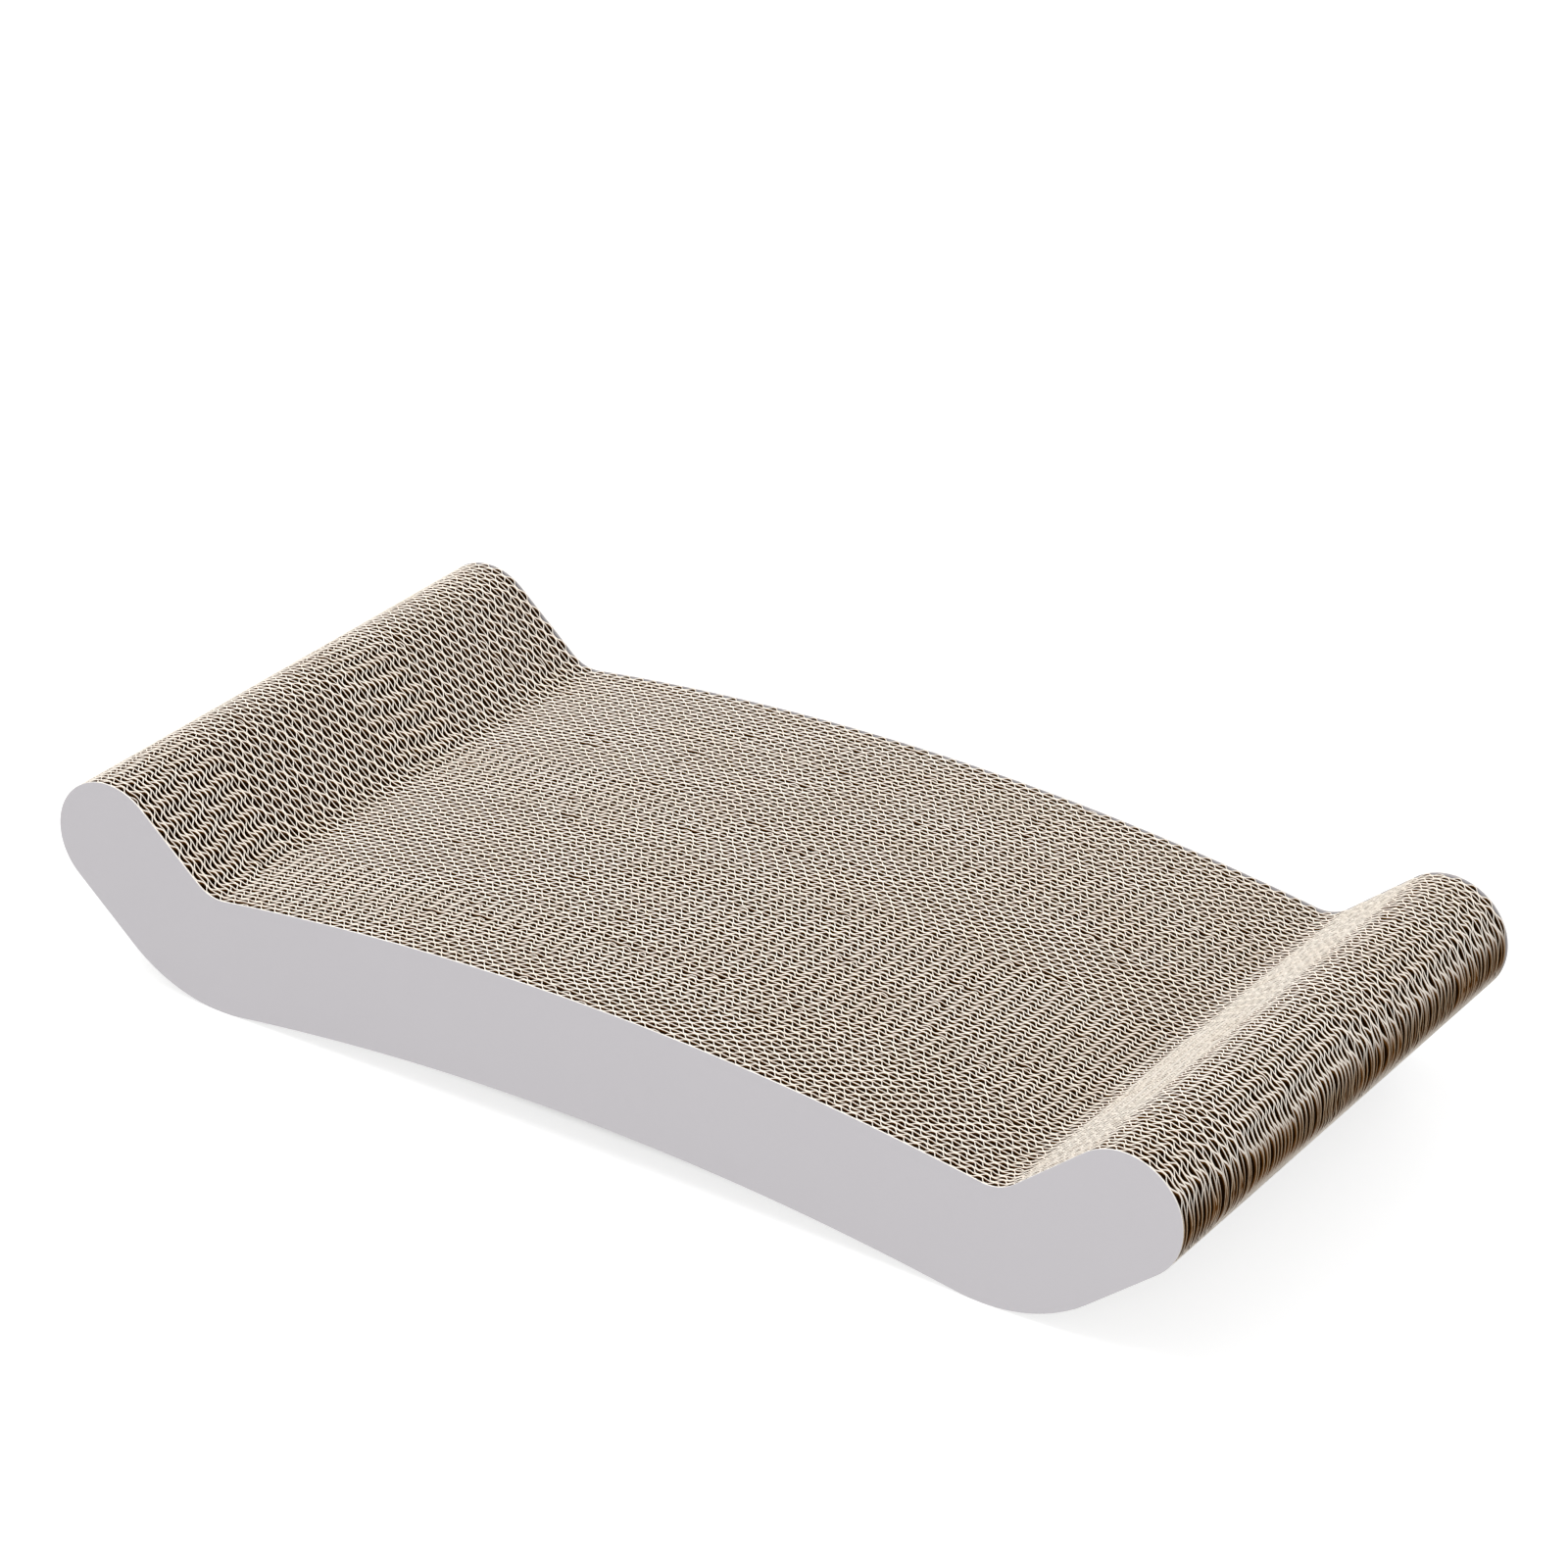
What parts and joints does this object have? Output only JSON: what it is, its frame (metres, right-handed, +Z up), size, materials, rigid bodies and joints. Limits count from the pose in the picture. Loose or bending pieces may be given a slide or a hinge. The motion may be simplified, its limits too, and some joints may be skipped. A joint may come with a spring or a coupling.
{
  "type": "cardboard cat scratcher",
  "caption": "Low couch-shaped cat scratcher: fluted cardboard sheets glued on edge between two smooth side panels, with a domed seat between two rolls.",
  "frame": {"origin": "on the floor, under the middle of the seat", "axes": "+X along the couch, towards the roll on the picture's right; +Y across the boards, away from the side panel that the picture shows; +Z up"},
  "size_m": [0.484, 0.24, 0.0792],
  "materials": {
    "fluted_board": "matte",
    "side_panel": "matte"
  },
  "bodies": {
    "root": {"near_side_panel": "side_panel", "board_01": "fluted_board", "board_02": "fluted_board", "board_03": "fluted_board", "board_04": "fluted_board", "board_05": "fluted_board", "board_06": "fluted_board", "board_07": "fluted_board", "board_08": "fluted_board", "board_09": "fluted_board", "board_10": "fluted_board", "board_11": "fluted_board", "board_12": "fluted_board", "board_13": "fluted_board", "board_14": "fluted_board", "board_15": "fluted_board", "board_16": "fluted_board", "board_17": "fluted_board", "board_18": "fluted_board", "board_19": "fluted_board", "board_20": "fluted_board", "board_21": "fluted_board", "board_22": "fluted_board", "board_23": "fluted_board", "board_24": "fluted_board", "board_25": "fluted_board", "board_26": "fluted_board", "board_27": "fluted_board", "board_28": "fluted_board", "board_29": "fluted_board", "board_30": "fluted_board", "board_31": "fluted_board", "board_32": "fluted_board", "board_33": "fluted_board", "board_34": "fluted_board", "board_35": "fluted_board", "board_36": "fluted_board", "board_37": "fluted_board", "board_38": "fluted_board", "board_39": "fluted_board", "board_40": "fluted_board", "board_41": "fluted_board", "board_42": "fluted_board", "board_43": "fluted_board", "board_44": "fluted_board", "board_45": "fluted_board", "board_46": "fluted_board", "far_side_panel": "side_panel"}
  },
  "joints": []
}
